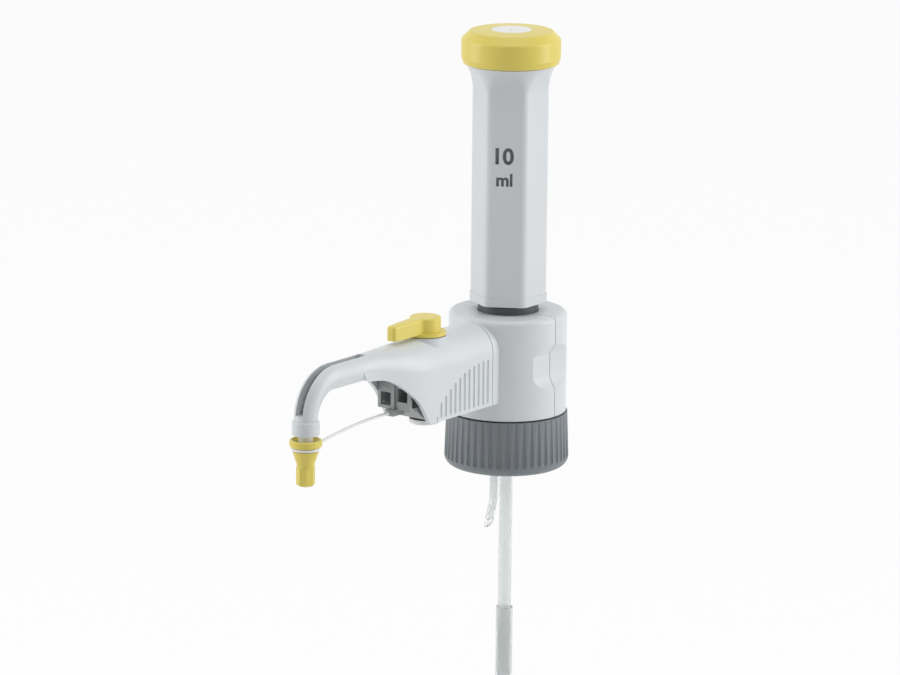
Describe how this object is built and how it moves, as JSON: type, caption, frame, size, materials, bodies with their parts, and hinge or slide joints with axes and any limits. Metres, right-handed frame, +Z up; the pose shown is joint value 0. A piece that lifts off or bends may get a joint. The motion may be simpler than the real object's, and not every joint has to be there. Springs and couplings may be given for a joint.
{
  "type": "bottle-top dispenser",
  "caption": "Bottle-top piston dispenser with screw ring, sliding hexagonal sleeve, slotted discharge arm, recirculation lever and tethered tip cap.",
  "frame": {"origin": "on the bottle's axis, at the mouth of the screw ring, where the bottle's thread enters", "axes": "+Z up along the piston's axis, -Y along the discharge arm, X across"},
  "size_m": [0.055, 0.1785, 0.3951],
  "materials": {
    "grey_shell": "satin moulded polypropylene",
    "ring_plastic": "satin moulded polypropylene, mid grey",
    "dark_plastic": "matte moulded plastic, dark grey",
    "yellow_plastic": "satin moulded plastic, pale yellow",
    "white_plastic": "matte fluoropolymer, white",
    "frame_plastic": "matte moulded plastic, grey",
    "strap_plastic": "soft polyethylene, off-white",
    "clear_plastic": "clear moulded plastic",
    "clear_tube": "translucent fluoropolymer tube",
    "clear_glass": "borosilicate glass",
    "steel": "stainless steel",
    "black_rubber": "matte rubber"
  },
  "bodies": {
    "bottle_ring": {"screw_ring": "ring_plastic"},
    "valve_block": {"valve_block_core": "white_plastic", "front_housing": "grey_shell", "rear_housing": "grey_shell", "housing_screws": "steel", "vent_cap": "grey_shell", "sealing_washer": "white_plastic", "safety_ring": "dark_plastic", "glass_cylinder": "clear_glass", "cylinder_seal": "white_plastic", "guide_tube": "clear_plastic", "filling_valve_body": "white_plastic", "filling_valve_seat": "white_plastic", "filling_tube_upper": "clear_tube", "recirculation_tube": "clear_tube", "arm_shell": "grey_shell", "arm_frame": "frame_plastic", "discharge_valve_body": "white_plastic", "discharge_spring": "steel", "valve_barrel": "white_plastic", "tube_nut": "white_plastic", "discharge_tube": "clear_tube", "nozzle_collar": "grey_shell", "nozzle_tip": "white_plastic", "tether_strap": "strap_plastic"},
    "piston_unit": {"piston": "white_plastic", "piston_seal": "white_plastic", "piston_head": "frame_plastic", "cylinder_sleeve": "grey_shell", "stop_ring": "dark_plastic", "top_cap": "yellow_plastic", "cover_plate": "white_plastic", "adjusting_screw": "frame_plastic"},
    "recirculation_valve": {"lever": "yellow_plastic", "valve_plug": "white_plastic", "plug_retainer": "white_plastic", "plug_ring": "black_rubber"},
    "cap_tether": {"tether_ring": "strap_plastic"},
    "tip_cap_body": {"tip_cap": "yellow_plastic"},
    "telescoping_tube": {"filling_tube_lower": "clear_tube"},
    "filling_ball_body": {"filling_ball": "clear_glass"},
    "discharge_ball_body": {"discharge_ball": "clear_glass"}
  },
  "joints": [
    {"name": "block_swivel", "type": "hinge", "parent": "bottle_ring", "child": "valve_block", "pos_m": [0, 0, 0.0249], "axis": [0, 0, 1], "continuous": true},
    {"name": "piston_slide", "type": "slide", "parent": "valve_block", "child": "piston_unit", "axis": [0, 0, 1], "range_m": [0, 0.065]},
    {"name": "lever_turn", "type": "hinge", "parent": "valve_block", "child": "recirculation_valve", "pos_m": [0, -0.06, 0.0697], "axis": [0, 0, 1], "range_deg": [0, 180]},
    {"name": "cap_drop", "type": "slide", "parent": "valve_block", "child": "cap_tether", "axis": [0, 0, -1], "range_m": [0, 0.004]},
    {"name": "cap_turn", "type": "hinge", "parent": "cap_tether", "child": "tip_cap_body", "pos_m": [0, -0.1425, 0.03], "axis": [0, 0, -1], "range_deg": [0, 720]},
    {"name": "tube_telescope", "type": "slide", "parent": "valve_block", "child": "telescoping_tube", "axis": [0, 0, 1], "range_m": [-0.029, 0.05]},
    {"name": "filling_ball_lift", "type": "slide", "parent": "valve_block", "child": "filling_ball_body", "axis": [0, 0, 1], "range_m": [0, 0.0015]},
    {"name": "discharge_ball_lift", "type": "slide", "parent": "valve_block", "child": "discharge_ball_body", "axis": [0, -1, 0], "range_m": [0, 0.0015], "stiffness_N_per_m": 30, "springref_m": -0.001, "deforming": ["discharge_spring"]}
  ],
  "couplings": [
    {"joint": "cap_turn", "follows": "cap_drop", "rad_per_m": 3141.6}
  ]
}
